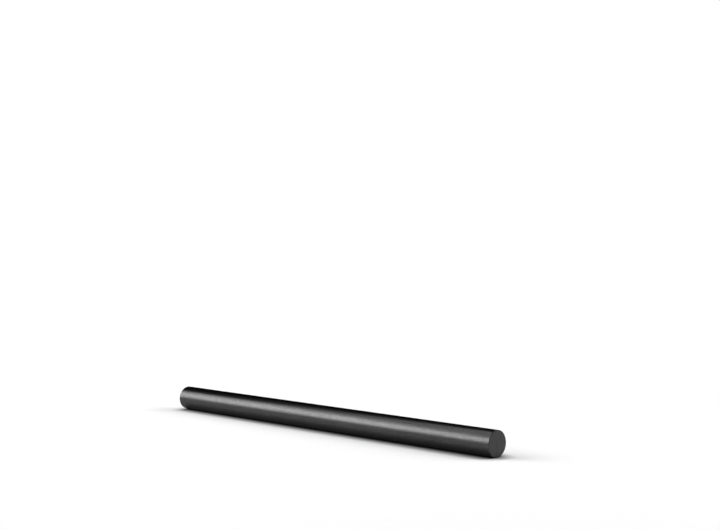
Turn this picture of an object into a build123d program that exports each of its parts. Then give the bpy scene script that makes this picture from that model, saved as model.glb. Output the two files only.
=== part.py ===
"""Round steel bar: one solid length of hot-rolled round stock, sawn square at both ends.

Millimetres. The bar lies along X on a level floor at z = 0, with the origin on the floor under its middle.
"""

import os

from build123d import *

# Driving dimensions
bar_diameter = 28.0  # a stock size of hot-rolled round steel
bar_length = 500.0  # overall, from one sawn face to the other
edge_break = 0.4  # 45 degree chamfer, where the saw burr is taken off each end

bar_radius = bar_diameter / 2

# The bar's axis runs along +X at the height of its own radius, so that it rests on the floor.
first_end = Plane(origin=(-bar_length / 2, 0, bar_radius), x_dir=(0, 1, 0), z_dir=(1, 0, 0))

with BuildPart() as round_bar:
    with BuildSketch(first_end):
        Circle(bar_radius)
    extrude(amount=bar_length)

    sawn_faces = round_bar.faces().filter_by(GeomType.PLANE)
    chamfer(sawn_faces.edges().filter_by(GeomType.CIRCLE), length=edge_break)

round_bar.part.label = "round_bar"

os.makedirs("parts", exist_ok=True)
export_step(round_bar.part, "parts/round_bar.step")
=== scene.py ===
"""Looks of a round steel bar: one straight length of hot-rolled stock, dark with mill scale.

Metres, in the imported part's own frame: the bar lies along X on the floor at z = 0, its middle
above the origin. Its two ends are sawn square.
"""

import logging
import math
from dataclasses import dataclass
from enum import Enum

import bpy
from mathutils import Euler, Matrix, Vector


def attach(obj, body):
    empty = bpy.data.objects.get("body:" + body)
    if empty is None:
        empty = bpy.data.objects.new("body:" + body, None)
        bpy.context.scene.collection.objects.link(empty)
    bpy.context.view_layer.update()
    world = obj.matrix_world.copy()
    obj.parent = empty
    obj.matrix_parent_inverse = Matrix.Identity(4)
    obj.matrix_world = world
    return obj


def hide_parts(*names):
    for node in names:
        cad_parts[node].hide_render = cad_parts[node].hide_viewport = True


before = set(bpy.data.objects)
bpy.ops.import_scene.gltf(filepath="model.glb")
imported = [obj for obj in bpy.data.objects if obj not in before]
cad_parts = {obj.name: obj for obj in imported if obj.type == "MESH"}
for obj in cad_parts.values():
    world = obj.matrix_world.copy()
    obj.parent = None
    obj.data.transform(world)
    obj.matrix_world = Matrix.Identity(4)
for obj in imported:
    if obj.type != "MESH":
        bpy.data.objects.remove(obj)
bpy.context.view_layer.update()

MM = 0.001  # metres in a millimetre
WHITE_LIGHT = "#FFFFFF"

# A Mix node's sockets go by number, because their names repeat.
MIX_SHARE = 0  # how much of the second value or colour
MIX_A, MIX_B = 2, 3  # the two values
MIX_COLOUR_A, MIX_COLOUR_B = 6, 7
MIX_COLOUR = 2  # the output that holds the mixed colour

log = logging.getLogger("round_bar")


def linear(hex_colour: str) -> tuple[float, float, float, float]:
    """Turns an sRGB hex colour into the linear values that Blender's sockets hold.

    Args:
        hex_colour: Six hex digits with a leading #.

    Returns:
        Red, green, blue and an alpha of 1.
    """
    channels = [int(hex_colour[i : i + 2], 16) / 255 for i in (1, 3, 5)]
    red, green, blue = (
        c / 12.92 if c <= 0.04045 else ((c + 0.055) / 1.055) ** 2.4 for c in channels
    )
    return red, green, blue, 1.0


def add_node(
    tree: bpy.types.NodeTree,
    kind: str,
    inputs: dict[int | str, object] | None = None,
    **settings: object,
) -> bpy.types.Node:
    """Adds one node to a tree, with its settings, its values and its links.

    Args:
        tree: The shader or geometry tree that gets the node.
        kind: The node's type name.
        inputs: For each input, by its name or number, the output that feeds it or the value that
            it holds.
        **settings: The node's own properties, set before its inputs because some of them change
            the sockets.

    Returns:
        The new node.
    """
    node = tree.nodes.new(kind)
    for name, value in settings.items():
        setattr(node, name, value)
    for key, value in (inputs or {}).items():
        if isinstance(value, bpy.types.NodeSocket):
            tree.links.new(value, node.inputs[key])
        else:
            node.inputs[key].default_value = value
    return node


def empty_tree(owner: bpy.types.ID) -> bpy.types.NodeTree:
    """Turns on an owner's nodes and clears them away.

    Args:
        owner: The material, lamp or world whose nodes they are.

    Returns:
        The owner's tree, with nothing in it.
    """
    owner.use_nodes = True
    owner.node_tree.nodes.clear()
    return owner.node_tree


def link_object(name: str, data: bpy.types.ID) -> bpy.types.Object:
    """Puts a mesh, lamp or camera in the scene as an object at the origin.

    Args:
        name: The object's name.
        data: The mesh, lamp or camera.

    Returns:
        The object.
    """
    thing = bpy.data.objects.new(name, data)
    bpy.context.scene.collection.objects.link(thing)
    return thing


def direction(angle: float, elevation: float) -> Vector:
    """Gives the unit vector at an angle from +X and an elevation, both in degrees."""
    turn, rise = math.radians(angle), math.radians(elevation)
    return Vector(
        (math.cos(turn) * math.cos(rise), math.sin(turn) * math.cos(rise), math.sin(rise))
    )


# ---------------------------------------------------------------- the bar's finishes


@dataclass(frozen=True)
class MillScaleSkin:
    """Hot-rolled mild steel with its mill scale on.

    The bar is rolled at red heat and cools in air, which leaves a thin, hard skin of iron oxide.
    It is almost black and reflects about a twentieth of the light, in a soft satin highlight. The
    rolls press it smooth, so that only a fine grain, faint lengthwise drawing and slightly thinner
    patches break the highlight up. A detail is how many finer layers a pattern's noise has.
    """

    dense_oxide: str = "#2B2B2B"
    thin_oxide: str = "#575757"
    dense_at: float = 0.38  # the noise's value where the oxide is at its densest
    thin_at: float = 0.62
    edge_tint: str = "#E7E7E7"  # sent back at a grazing angle, a little short of everything
    roughness: float = 0.220
    roughness_spread: float = 0.09  # from the smoothest grain to the dullest
    dull_at: float = 0.3  # the noise's value where the grain is at its dullest
    smooth_at: float = 0.7
    grain_size: float = 0.6 * MM  # real grains are tens of microns; drawn coarser so that they show
    grain_depth: float = 0.018 * MM
    grain_detail: float = 2.0
    patch_size: float = 35 * MM
    patch_detail: float = 3.0
    patch_share: float = 0.06  # of the colour's change, the rest being grain
    drawing_width: float = 0.7 * MM
    drawing_length: float = 90 * MM
    drawing_detail: float = 2.0
    drawing_share: float = 0.12  # of the bump's height, the rest being grain

    def material(self) -> bpy.types.Material:
        """Builds the finish as a node material on Object coordinates.

        Returns:
            The material of the rolled side.
        """
        material = bpy.data.materials.new("mill_scale_steel")
        tree = empty_tree(material)
        place = add_node(tree, "ShaderNodeTexCoord").outputs["Object"]
        grain = add_node(
            tree,
            "ShaderNodeTexNoise",
            {"Vector": place, "Scale": 1 / self.grain_size, "Detail": self.grain_detail},
        ).outputs[0]
        patches = add_node(
            tree,
            "ShaderNodeTexNoise",
            {"Vector": place, "Scale": 1 / self.patch_size, "Detail": self.patch_detail},
        ).outputs[0]
        across = 1 / self.drawing_width
        drawn_out = add_node(
            tree,
            "ShaderNodeMapping",
            {"Vector": place, "Scale": (1 / self.drawing_length, across, across)},
        ).outputs[0]
        drawing = add_node(
            tree,
            "ShaderNodeTexNoise",
            {"Vector": drawn_out, "Scale": 1.0, "Detail": self.drawing_detail},
        ).outputs[0]
        thinness = add_node(
            tree, "ShaderNodeMix", {MIX_SHARE: self.patch_share, MIX_A: grain, MIX_B: patches}
        ).outputs[0]
        thinness = add_node(
            tree,
            "ShaderNodeMapRange",
            {"Value": thinness, "From Min": self.dense_at, "From Max": self.thin_at},
        ).outputs[0]
        colour = add_node(
            tree,
            "ShaderNodeMix",
            {
                MIX_SHARE: thinness,
                MIX_COLOUR_A: linear(self.dense_oxide),
                MIX_COLOUR_B: linear(self.thin_oxide),
            },
            data_type="RGBA",
        ).outputs[MIX_COLOUR]
        roughness = add_node(
            tree,
            "ShaderNodeMapRange",
            {
                "Value": grain,
                "From Min": self.dull_at,
                "From Max": self.smooth_at,
                "To Min": self.roughness + self.roughness_spread / 2,
                "To Max": self.roughness - self.roughness_spread / 2,
            },
        ).outputs[0]
        height = add_node(
            tree, "ShaderNodeMix", {MIX_SHARE: self.drawing_share, MIX_A: grain, MIX_B: drawing}
        ).outputs[0]
        bump = add_node(
            tree,
            "ShaderNodeBump",
            {"Height": height, "Distance": self.grain_depth, "Strength": 1.0},
        ).outputs[0]
        shader = add_node(
            tree,
            "ShaderNodeBsdfPrincipled",
            {
                "Base Color": colour,
                "Metallic": 1.0,
                "Specular Tint": linear(self.edge_tint),
                "Roughness": roughness,
                "Normal": bump,
            },
        ).outputs[0]
        add_node(tree, "ShaderNodeOutputMaterial", {"Surface": shader})
        return material


@dataclass(frozen=True)
class SawnSteel:
    """A band-sawn steel face, darkened after the cut.

    The blade leaves fine upright lines of uneven depth, and an oiled, darkened cut is as dark as
    the rolled skin but duller: it shows no clear reflection, only an even grey that fades towards
    the floor. A detail is how many finer layers a pattern's noise has.
    """

    valley: str = "#373737"
    crest: str = "#474747"
    valley_at: float = 0.3  # the noise's value where the cut is at its darkest
    crest_at: float = 0.7
    edge_tint: str = "#E7E7E7"  # sent back at a grazing angle, as on the rolled skin
    roughness: float = 0.30
    line_width: float = 1.2 * MM  # one stroke of the blade; finer scratches wouldn't show
    line_length: float = 25 * MM
    line_depth: float = 0.004 * MM
    line_detail: float = 3.0
    grain_size: float = 1.0 * MM  # drawn coarser than the real grain so that it shows
    grain_detail: float = 2.0
    grain_share: float = 0.35  # of the colour's change, the rest being lines

    def material(self) -> bpy.types.Material:
        """Builds the finish as a node material on Object coordinates.

        Returns:
            The material of the end faces.
        """
        material = bpy.data.materials.new("sawn_steel")
        tree = empty_tree(material)
        place = add_node(tree, "ShaderNodeTexCoord").outputs["Object"]
        across = 1 / self.line_width
        upright = add_node(
            tree,
            "ShaderNodeMapping",
            {"Vector": place, "Scale": (across, across, 1 / self.line_length)},
        ).outputs[0]
        lines = add_node(
            tree,
            "ShaderNodeTexNoise",
            {"Vector": upright, "Scale": 1.0, "Detail": self.line_detail},
        ).outputs[0]
        grain = add_node(
            tree,
            "ShaderNodeTexNoise",
            {"Vector": place, "Scale": 1 / self.grain_size, "Detail": self.grain_detail},
        ).outputs[0]
        wear = add_node(
            tree, "ShaderNodeMix", {MIX_SHARE: self.grain_share, MIX_A: lines, MIX_B: grain}
        ).outputs[0]
        wear = add_node(
            tree,
            "ShaderNodeMapRange",
            {"Value": wear, "From Min": self.valley_at, "From Max": self.crest_at},
        ).outputs[0]
        colour = add_node(
            tree,
            "ShaderNodeMix",
            {
                MIX_SHARE: wear,
                MIX_COLOUR_A: linear(self.valley),
                MIX_COLOUR_B: linear(self.crest),
            },
            data_type="RGBA",
        ).outputs[MIX_COLOUR]
        bump = add_node(
            tree, "ShaderNodeBump", {"Height": lines, "Distance": self.line_depth, "Strength": 1.0}
        ).outputs[0]
        shader = add_node(
            tree,
            "ShaderNodeBsdfPrincipled",
            {
                "Base Color": colour,
                "Metallic": 1.0,
                "Specular Tint": linear(self.edge_tint),
                "Roughness": self.roughness,
                "Normal": bump,
            },
        ).outputs[0]
        add_node(tree, "ShaderNodeOutputMaterial", {"Surface": shader})
        return material


# ---------------------------------------------------------------- the bar


@dataclass(frozen=True)
class RolledBar:
    """The bar itself: its section, its length, its broken edges and its two surfaces' relief.

    The waves of the rolled side and the saw marks of the ends only go inwards, so that the bar
    keeps its size. Their depths are the most that the noise can take away. In this bar it takes
    about a quarter to three quarters of that.
    """

    diameter: float = 28.0 * MM
    length: float = 500.0 * MM
    edge_break: float = 0.4 * MM
    sides: int = 256
    stations: int = 180  # steps along the length
    rings: int = 70  # steps from an end face's middle to its rim, half an edge break each
    skin_relief: float = 0.015 * MM
    skin_wave: float = 14 * MM  # round the bar
    skin_detail: float = 1.0  # finer layers in the waves' noise
    wave_stretch: float = 0.25  # of their fineness, along the bar, where they are drawn out
    saw_mark_depth: float = 0.012 * MM
    saw_mark_pitch: float = 1.2 * MM
    saw_mark_detail: float = 2.0
    sharp_angle: float = 30.0  # degrees between two faces past which their edge is crisp
    reach: float = 0.01 * MM  # how near a point counts as on the side or on an end
    seed: float = 7.0

    def build(self, skin: MillScaleSkin, cut: SawnSteel) -> bpy.types.Object:
        """Makes the bar's mesh with Geometry Nodes and dresses it.

        Args:
            skin: The finish of the rolled side.
            cut: The finish of the sawn ends.

        Returns:
            The bar as one plain mesh.
        """
        values = {
            "Diameter": ("NodeSocketFloat", self.diameter),
            "Length": ("NodeSocketFloat", self.length),
            "Edge Break": ("NodeSocketFloat", self.edge_break),
            "Sides": ("NodeSocketInt", self.sides),
            "Stations": ("NodeSocketInt", self.stations),
            "Rings": ("NodeSocketInt", self.rings),
            "Skin Relief": ("NodeSocketFloat", self.skin_relief),
            "Skin Wave": ("NodeSocketFloat", self.skin_wave),
            "Saw Mark Depth": ("NodeSocketFloat", self.saw_mark_depth),
            "Saw Mark Pitch": ("NodeSocketFloat", self.saw_mark_pitch),
            "Sharp Angle": ("NodeSocketFloat", math.radians(self.sharp_angle)),
            "Seed": ("NodeSocketFloat", self.seed),
            "Rolled Skin": ("NodeSocketMaterial", skin.material()),
            "Sawn Face": ("NodeSocketMaterial", cut.material()),
        }
        tree = bpy.data.node_groups.new("rolled_bar", "GeometryNodeTree")
        made = {
            name: tree.interface.new_socket(name, in_out="INPUT", socket_type=kind)
            for name, (kind, _) in values.items()
        }
        tree.interface.new_socket("Geometry", in_out="OUTPUT", socket_type="NodeSocketGeometry")
        self.grow(tree)

        carrier = link_object("carrier", bpy.data.meshes.new("carrier"))
        modifier = carrier.modifiers.new("bar", "NODES")
        modifier.node_group = tree
        for name, (_, value) in values.items():
            modifier[made[name].identifier] = value
        graph = bpy.context.evaluated_depsgraph_get()
        mesh = bpy.data.meshes.new_from_object(carrier.evaluated_get(graph), depsgraph=graph)
        bpy.data.objects.remove(carrier)
        return link_object("dressed_bar", mesh)

    def grow(self, tree: bpy.types.NodeTree) -> None:
        """Fills the tree: a cylinder on end, rolled, cut, laid down on the floor and dressed.

        Args:
            tree: The geometry tree, with its inputs and output already named.
        """
        size = add_node(tree, "NodeGroupInput").outputs
        radius = add_node(
            tree, "ShaderNodeMath", {0: size["Diameter"], 1: 2.0}, operation="DIVIDE"
        ).outputs[0]
        stock = add_node(
            tree,
            "GeometryNodeMeshCylinder",
            {
                "Vertices": size["Sides"],
                "Side Segments": size["Stations"],
                "Fill Segments": size["Rings"],
                "Radius": radius,
                "Depth": size["Length"],
            },
            fill_type="TRIANGLE_FAN",
        ).outputs
        shape = self.roll_side(tree, stock["Mesh"], size, radius)
        shape = self.cut_ends(tree, shape, size, radius)
        lift = add_node(tree, "ShaderNodeCombineXYZ", {"Z": radius}).outputs[0]
        shape = add_node(
            tree,
            "GeometryNodeTransform",
            {"Geometry": shape, "Translation": lift, "Rotation": (0.0, math.pi / 2, 0.0)},
        ).outputs[0]
        shape = add_node(tree, "GeometryNodeSetShadeSmooth", {"Geometry": shape}).outputs[0]
        bend = add_node(tree, "GeometryNodeInputMeshEdgeAngle").outputs["Unsigned Angle"]
        crisp = add_node(
            tree, "ShaderNodeMath", {0: bend, 1: size["Sharp Angle"]}, operation="GREATER_THAN"
        ).outputs[0]
        shape = add_node(
            tree,
            "GeometryNodeSetShadeSmooth",
            {"Geometry": shape, "Selection": crisp, "Shade Smooth": False},
            domain="EDGE",
        ).outputs[0]
        ends = add_node(
            tree, "FunctionNodeBooleanMath", {0: stock["Top"], 1: stock["Bottom"]}, operation="OR"
        ).outputs[0]
        shape = add_node(tree, "GeometryNodeRealizeInstances", {0: shape}).outputs[0]
        shape = add_node(
            tree, "GeometryNodeSetMaterial", {"Geometry": shape, "Material": size["Rolled Skin"]}
        ).outputs[0]
        shape = add_node(
            tree,
            "GeometryNodeSetMaterial",
            {"Geometry": shape, "Selection": ends, "Material": size["Sawn Face"]},
        ).outputs[0]
        add_node(tree, "NodeGroupOutput", {0: shape})

    def roll_side(
        self,
        tree: bpy.types.NodeTree,
        shape: bpy.types.NodeSocket,
        size: bpy.types.bpy_prop_collection,
        radius: bpy.types.NodeSocket,
    ) -> bpy.types.NodeSocket:
        """Gives the side the soft lengthwise waves that the rolls leave.

        Args:
            tree: The geometry tree.
            shape: The bar standing on end, its middle at the origin.
            size: The tree's named inputs.
            radius: Half the diameter.

        Returns:
            The bar with its side rolled.
        """
        place = add_node(tree, "GeometryNodeInputPosition").outputs[0]
        to_axis = add_node(
            tree, "ShaderNodeVectorMath", {0: place, 1: (-1.0, -1.0, 0.0)}, operation="MULTIPLY"
        ).outputs[0]
        out = add_node(
            tree, "ShaderNodeVectorMath", {0: to_axis}, operation="LENGTH"
        ).outputs["Value"]
        on_side = add_node(
            tree, "ShaderNodeMath", {0: out, 1: radius, 2: self.reach}, operation="COMPARE"
        ).outputs[0]
        inward = add_node(
            tree, "ShaderNodeVectorMath", {0: to_axis}, operation="NORMALIZE"
        ).outputs[0]
        drawn_out = add_node(
            tree,
            "ShaderNodeVectorMath",
            {0: place, 1: (1.0, 1.0, self.wave_stretch)},
            operation="MULTIPLY",
        ).outputs[0]
        fineness = add_node(
            tree, "ShaderNodeMath", {0: 1.0, 1: size["Skin Wave"]}, operation="DIVIDE"
        ).outputs[0]
        waves = add_node(
            tree,
            "ShaderNodeTexNoise",
            {
                "Vector": drawn_out,
                "W": size["Seed"],
                "Scale": fineness,
                "Detail": self.skin_detail,
            },
            noise_dimensions="4D",
        ).outputs[0]
        depth = add_node(
            tree, "ShaderNodeMath", {0: waves, 1: size["Skin Relief"]}, operation="MULTIPLY"
        ).outputs[0]
        offset = add_node(
            tree, "ShaderNodeVectorMath", {0: inward, "Scale": depth}, operation="SCALE"
        ).outputs[0]
        return add_node(
            tree,
            "GeometryNodeSetPosition",
            {"Geometry": shape, "Selection": on_side, "Offset": offset},
        ).outputs[0]

    def cut_ends(
        self,
        tree: bpy.types.NodeTree,
        shape: bpy.types.NodeSocket,
        size: bpy.types.bpy_prop_collection,
        radius: bpy.types.NodeSocket,
    ) -> bpy.types.NodeSocket:
        """Breaks both rims at 45 degrees and cuts the blade's upright lines into the faces.

        Args:
            tree: The geometry tree.
            shape: The bar standing on end, its middle at the origin.
            size: The tree's named inputs.
            radius: Half the diameter.

        Returns:
            The bar with its ends cut.
        """
        place = add_node(tree, "GeometryNodeInputPosition").outputs[0]
        x, y, z = add_node(tree, "ShaderNodeSeparateXYZ", {0: place}).outputs
        half = add_node(
            tree, "ShaderNodeMath", {0: size["Length"], 1: 2.0}, operation="DIVIDE"
        ).outputs[0]
        height = add_node(tree, "ShaderNodeMath", {0: z}, operation="ABSOLUTE").outputs[0]
        on_end = add_node(
            tree, "ShaderNodeMath", {0: height, 1: half, 2: self.reach}, operation="COMPARE"
        ).outputs[0]
        # past the flat, a point goes in as far as it lies out, which makes the 45 degree edge
        to_rim = add_node(tree, "ShaderNodeCombineXYZ", {"X": x, "Y": y}).outputs[0]
        out = add_node(
            tree, "ShaderNodeVectorMath", {0: to_rim}, operation="LENGTH"
        ).outputs["Value"]
        flat = add_node(
            tree, "ShaderNodeMath", {0: radius, 1: size["Edge Break"]}, operation="SUBTRACT"
        ).outputs[0]
        broken = add_node(
            tree, "ShaderNodeMath", {0: out, 1: flat}, operation="SUBTRACT", use_clamp=True
        ).outputs[0]
        # the lines change across the face only; z puts each end at its own place in the noise
        across = add_node(tree, "ShaderNodeCombineXYZ", {"X": y, "Y": z}).outputs[0]
        fineness = add_node(
            tree, "ShaderNodeMath", {0: 1.0, 1: size["Saw Mark Pitch"]}, operation="DIVIDE"
        ).outputs[0]
        lines = add_node(
            tree,
            "ShaderNodeTexNoise",
            {
                "Vector": across,
                "W": size["Seed"],
                "Scale": fineness,
                "Detail": self.saw_mark_detail,
            },
            noise_dimensions="4D",
        ).outputs[0]
        depth = add_node(
            tree,
            "ShaderNodeMath",
            {0: lines, 1: size["Saw Mark Depth"], 2: broken},
            operation="MULTIPLY_ADD",
        ).outputs[0]
        downward = add_node(
            tree, "ShaderNodeMath", {0: z, 1: -1.0}, operation="MULTIPLY"
        ).outputs[0]
        side = add_node(tree, "ShaderNodeMath", {0: downward}, operation="SIGN").outputs[0]
        inwards = add_node(
            tree, "ShaderNodeMath", {0: depth, 1: side}, operation="MULTIPLY"
        ).outputs[0]
        offset = add_node(tree, "ShaderNodeCombineXYZ", {"Z": inwards}).outputs[0]
        return add_node(
            tree,
            "GeometryNodeSetPosition",
            {"Geometry": shape, "Selection": on_end, "Offset": offset},
        ).outputs[0]


# ---------------------------------------------------------------- the studio


@dataclass(frozen=True)
class Viewpoint:
    """The camera: where it stands, which way it looks and its lens."""

    place: tuple[float, float, float] = (1.0470, -0.9967, 0.2278)
    heading: float = 134.80  # degrees anticlockwise from +X, seen from above
    pitch: float = 1.609  # degrees below the horizontal
    lens: float = 64.03  # mm
    sensor: float = 36.0  # mm wide
    nearest: float = 0.01  # what it shows, from here
    farthest: float = 100.0  # to here

    def build(self) -> bpy.types.Object:
        """Makes the camera and gives it to the scene.

        Returns:
            The camera.
        """
        data = bpy.data.cameras.new("viewpoint")
        data.lens, data.sensor_width, data.sensor_fit = self.lens, self.sensor, "HORIZONTAL"
        data.clip_start, data.clip_end = self.nearest, self.farthest
        camera = link_object("viewpoint", data)
        camera.location = self.place
        camera.rotation_euler = Euler(
            (math.radians(90 - self.pitch), 0.0, math.radians(self.heading - 90))
        )
        bpy.context.scene.camera = camera
        return camera


class LampFace(Enum):
    """How a lamp's face gives its light."""

    EVEN = "even"  # the same all over
    SOFT = "soft"  # brightest in the middle, fading to nothing at an oval edge


@dataclass(frozen=True)
class SoftBox:
    """A large lamp turned towards the bar, out of the camera's sight."""

    name: str
    bearing: float  # degrees to the right of the camera's line of sight
    elevation: float  # degrees above the horizontal
    width: float
    height: float
    radiance: float  # at its brightest
    face: LampFace = LampFace.EVEN
    distance: float = 5.0

    def build(self, heading: float) -> bpy.types.Object:
        """Makes the lamp.

        Args:
            heading: The camera's heading, from which the bearing counts.

        Returns:
            The lamp.
        """
        data = bpy.data.lights.new(self.name, "AREA")
        data.shape, data.size, data.size_y = "RECTANGLE", self.width, self.height
        data.energy = self.radiance * math.pi * self.width * self.height
        if self.face is LampFace.SOFT:
            self.soften(empty_tree(data))
        lamp = link_object(self.name, data)
        outward = direction(heading - self.bearing, self.elevation)
        lamp.location = outward * self.distance
        lamp.rotation_euler = outward.to_track_quat("Z", "Y").to_euler()
        lamp.visible_camera = False
        return lamp

    def soften(self, tree: bpy.types.NodeTree) -> None:
        """Makes the lamp's light fade from the middle of its face to an oval edge.

        Args:
            tree: The lamp's own tree, with nothing in it.
        """
        # the place on the face runs from 0 to 1 both ways, and here from the middle to 1 at an edge
        across = add_node(tree, "ShaderNodeNewGeometry").outputs["Parametric"]
        centred = add_node(
            tree, "ShaderNodeVectorMath", {0: across, 1: (0.5, 0.5, 0.0)}, operation="SUBTRACT"
        ).outputs[0]
        flat = add_node(
            tree, "ShaderNodeVectorMath", {0: centred, 1: (2.0, 2.0, 0.0)}, operation="MULTIPLY"
        ).outputs[0]
        off = add_node(
            tree, "ShaderNodeVectorMath", {0: flat}, operation="LENGTH"
        ).outputs["Value"]
        fade = add_node(
            tree,
            "ShaderNodeMapRange",
            {"Value": off, "To Min": 1.0, "To Max": 0.0},
            interpolation_type="SMOOTHSTEP",
        ).outputs[0]
        glow = add_node(
            tree, "ShaderNodeEmission", {"Color": linear(WHITE_LIGHT), "Strength": fade}
        ).outputs[0]
        add_node(tree, "ShaderNodeOutputLight", {"Surface": glow})


@dataclass(frozen=True)
class BlackVelvet:
    """Cotton velvet, black, whose pile traps nearly all the light."""

    pile: str = "#000000"

    def material(self) -> bpy.types.Material:
        """Builds the finish.

        Returns:
            The card's material.
        """
        material = bpy.data.materials.new("black_velvet")
        tree = empty_tree(material)
        cloth = add_node(tree, "ShaderNodeBsdfDiffuse", {"Color": linear(self.pile)}).outputs[0]
        add_node(tree, "ShaderNodeOutputMaterial", {"Surface": cloth})
        return material


@dataclass(frozen=True)
class Flag:
    """A curved black card behind the bar, which only reflections show."""

    first_bearing: float = -56.0  # degrees to the right of the camera's line of sight
    last_bearing: float = 59.0
    distance: float = 3.0
    height: float = 1.15
    steps: int = 24

    def build(self, heading: float, finish: BlackVelvet) -> bpy.types.Object:
        """Makes the card.

        Args:
            heading: The camera's heading, from which the bearings count.
            finish: What the card is covered with.

        Returns:
            The card.
        """
        step = (self.last_bearing - self.first_bearing) / self.steps
        points = []
        for i in range(self.steps + 1):
            foot = direction(heading - self.first_bearing - step * i, 0.0) * self.distance
            points += [foot, foot + Vector((0.0, 0.0, self.height))]
        faces = [(2 * i, 2 * i + 2, 2 * i + 3, 2 * i + 1) for i in range(self.steps)]
        mesh = bpy.data.meshes.new("back_flag")
        mesh.from_pydata(points, [], faces)
        mesh.materials.append(finish.material())
        card = link_object("back_flag", mesh)
        card.visible_camera = card.visible_diffuse = card.visible_shadow = False
        card.visible_transmission = card.visible_volume_scatter = False
        return card


def showing(tree: bpy.types.NodeTree) -> bpy.types.NodeSocket:
    """Tells what the camera, a reflection or clear glass shows from the rays that carry light.

    Args:
        tree: The shader tree that asks.

    Returns:
        A value of 1 for what is shown and 0 for the rest.
    """
    path = add_node(tree, "ShaderNodeLightPath").outputs
    shown = path["Is Camera Ray"]
    for ray in ("Is Glossy Ray", "Is Transmission Ray"):
        shown = add_node(
            tree, "ShaderNodeMath", {0: shown, 1: path[ray]}, operation="ADD"
        ).outputs[0]
    return shown


@dataclass(frozen=True)
class WhitePaper:
    """Matt white background paper, lit and in the bar's shadow near it, plain white further off.
    Near the bar a painted shade also darkens its colour towards black at the line of contact.
    """

    sheet: str = "#FFFFFF"
    painted_contact_shade: str = "#000000"  # painted shade: the paper's colour at the line of contact
    near: float = 200 * MM  # from the bar; the paper starts to turn plain here
    far: float = 500 * MM
    painted_shade_reach: float = 15 * MM  # how far from the bar the paper's painted contact shade reaches
    painted_shade_depth: float = 1.25  # above 1, the painted shade is deeper and closes in on the contact
    mirrored_painted_shade_depth: float = 0.95  # the same for the painted shade, as the bar's side mirrors the paper
    painted_shade_samples: int = 16

    def material(self, half_length: float) -> bpy.types.Material:
        """Builds the finish.

        Args:
            half_length: Half the bar's length, because the distance from the bar counts from its
                axis.

        Returns:
            The paper's material.
        """
        material = bpy.data.materials.new("white_paper")
        tree = empty_tree(material)
        place = add_node(tree, "ShaderNodeTexCoord").outputs["Object"]
        x, y, _ = add_node(tree, "ShaderNodeSeparateXYZ", {0: place}).outputs
        along = add_node(tree, "ShaderNodeMath", {0: x}, operation="ABSOLUTE").outputs[0]
        past = add_node(
            tree,
            "ShaderNodeMath",
            {0: along, 1: half_length},
            operation="SUBTRACT",
            use_clamp=True,
        ).outputs[0]
        off = add_node(tree, "ShaderNodeCombineXYZ", {0: past, 1: y}).outputs[0]
        reach = add_node(
            tree, "ShaderNodeVectorMath", {0: off}, operation="LENGTH"
        ).outputs["Value"]
        fade = add_node(
            tree,
            "ShaderNodeMapRange",
            {"Value": reach, "From Min": self.near, "From Max": self.far},
            interpolation_type="SMOOTHSTEP",
        ).outputs[0]
        plain = add_node(
            tree,
            "ShaderNodeMath",
            {0: showing(tree), 1: fade},
            operation="MULTIPLY",
            use_clamp=True,
        ).outputs[0]
        # painted shade: ambient occlusion darkens the paper's colour near the bar, over the lamps'
        # own shadow
        painted_shade_mask = add_node(
            tree,
            "ShaderNodeAmbientOcclusion",
            {"Distance": self.painted_shade_reach},
            samples=self.painted_shade_samples,
        ).outputs["AO"]
        mirrored = add_node(tree, "ShaderNodeLightPath").outputs["Is Glossy Ray"]
        depth = add_node(
            tree,
            "ShaderNodeMix",
            {MIX_SHARE: mirrored, MIX_A: self.painted_shade_depth, MIX_B: self.mirrored_painted_shade_depth},
        ).outputs[0]
        painted_shade_mask = add_node(
            tree, "ShaderNodeMath", {0: painted_shade_mask, 1: depth}, operation="POWER"
        ).outputs[0]
        # the paper's colour with the painted contact shade mixed in
        painted_shade_colour = add_node(
            tree,
            "ShaderNodeMix",
            {
                MIX_SHARE: painted_shade_mask,
                MIX_COLOUR_A: linear(self.painted_contact_shade),
                MIX_COLOUR_B: linear(self.sheet),
            },
            data_type="RGBA",
        ).outputs[MIX_COLOUR]
        lit = add_node(tree, "ShaderNodeBsdfDiffuse", {"Color": painted_shade_colour}).outputs[0]
        white = add_node(
            tree, "ShaderNodeEmission", {"Color": linear(self.sheet), "Strength": 1.0}
        ).outputs[0]
        shader = add_node(tree, "ShaderNodeMixShader", {0: plain, 1: lit, 2: white}).outputs[0]
        add_node(tree, "ShaderNodeOutputMaterial", {"Surface": shader})
        material.cycles.emission_sampling = "NONE"
        return material


@dataclass(frozen=True)
class Floor:
    """The level floor that the bar lies on."""

    half_width: float = 10.0

    def build(self, finish: WhitePaper, half_length: float) -> bpy.types.Object:
        """Makes the floor.

        Args:
            finish: What the floor is covered with.
            half_length: Half the bar's length, for the finish.

        Returns:
            The floor.
        """
        w = self.half_width
        mesh = bpy.data.meshes.new("floor")
        mesh.from_pydata([(-w, -w, 0), (w, -w, 0), (w, w, 0), (-w, w, 0)], [], [(0, 1, 2, 3)])
        mesh.materials.append(finish.material(half_length))
        floor = link_object("floor", mesh)
        return floor


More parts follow.
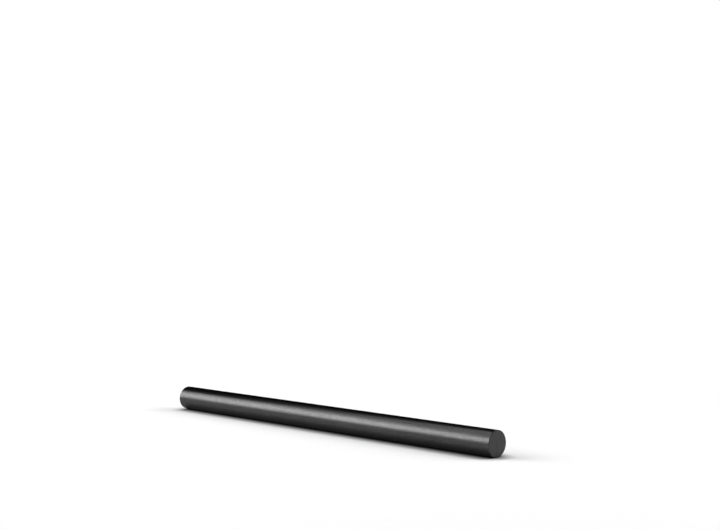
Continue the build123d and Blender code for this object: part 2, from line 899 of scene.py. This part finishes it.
@dataclass(frozen=True)
class Room:
    """The studio round the floor: a white wall of limited height, and dark above it."""

    wall_low: float = 14.0  # degrees of elevation at which the wall starts to fade
    wall_high: float = 22.0  # and at which it is gone
    ambient: float = 0.09  # light that the room gives from all sides

    def build(self) -> bpy.types.World:
        """Makes the world and gives it to the scene.

        Returns:
            The world.
        """
        world = bpy.data.worlds.new("studio")
        tree = empty_tree(world)
        way = add_node(tree, "ShaderNodeTexCoord").outputs["Generated"]
        rise = add_node(tree, "ShaderNodeSeparateXYZ", {0: way}).outputs["Z"]
        wall = add_node(
            tree,
            "ShaderNodeMapRange",
            {
                "Value": rise,
                "From Min": math.sin(math.radians(self.wall_low)),
                "From Max": math.sin(math.radians(self.wall_high)),
                "To Min": 1.0,
                "To Max": 0.0,
            },
            interpolation_type="SMOOTHSTEP",
        ).outputs[0]
        strength = add_node(
            tree, "ShaderNodeMix", {MIX_SHARE: showing(tree), MIX_A: self.ambient, MIX_B: wall}
        ).outputs[0]
        back = add_node(
            tree, "ShaderNodeBackground", {"Color": linear(WHITE_LIGHT), "Strength": strength}
        ).outputs[0]
        add_node(tree, "ShaderNodeOutputWorld", {"Surface": back})
        world.cycles.sampling_method = "NONE"
        bpy.context.scene.world = world
        return world


LAMPS = (
    SoftBox(
        "left_box",
        bearing=-83.0,
        elevation=23.3,
        width=7.93,
        height=5.20,
        radiance=6.5,
        face=LampFace.SOFT,
    ),
    SoftBox("top_box", bearing=-17.2, elevation=71.6, width=8.39, height=4.14, radiance=1.50),
    SoftBox("right_box", bearing=88.0, elevation=26.0, width=4.45, height=3.44, radiance=3.85),
)


def main() -> None:
    """Builds the bar, the camera, the lamps, the flag, the floor and the room."""
    logging.basicConfig(level=logging.INFO, format="%(name)s: %(message)s")
    bpy.context.scene.view_settings.view_transform = "Standard"

    stock = RolledBar()
    bar = stock.build(MillScaleSkin(), SawnSteel())
    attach(bar, "root")
    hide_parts("round_bar")
    log.info("bar: %d faces, %d finishes", len(bar.data.polygons), len(bar.data.materials))

    view = Viewpoint()
    view.build()
    log.info("camera: %.2f mm lens", view.lens)
    for lamp in LAMPS:
        lamp.build(view.heading)
        log.info("lamp %s: %s face", lamp.name, lamp.face.value)
    Flag().build(view.heading, BlackVelvet())
    log.info("stage: black card")
    Floor().build(WhitePaper(), stock.length / 2)
    log.info("stage: floor")
    Room().build()
    log.info("stage: room")


if __name__ == "__main__":
    main()
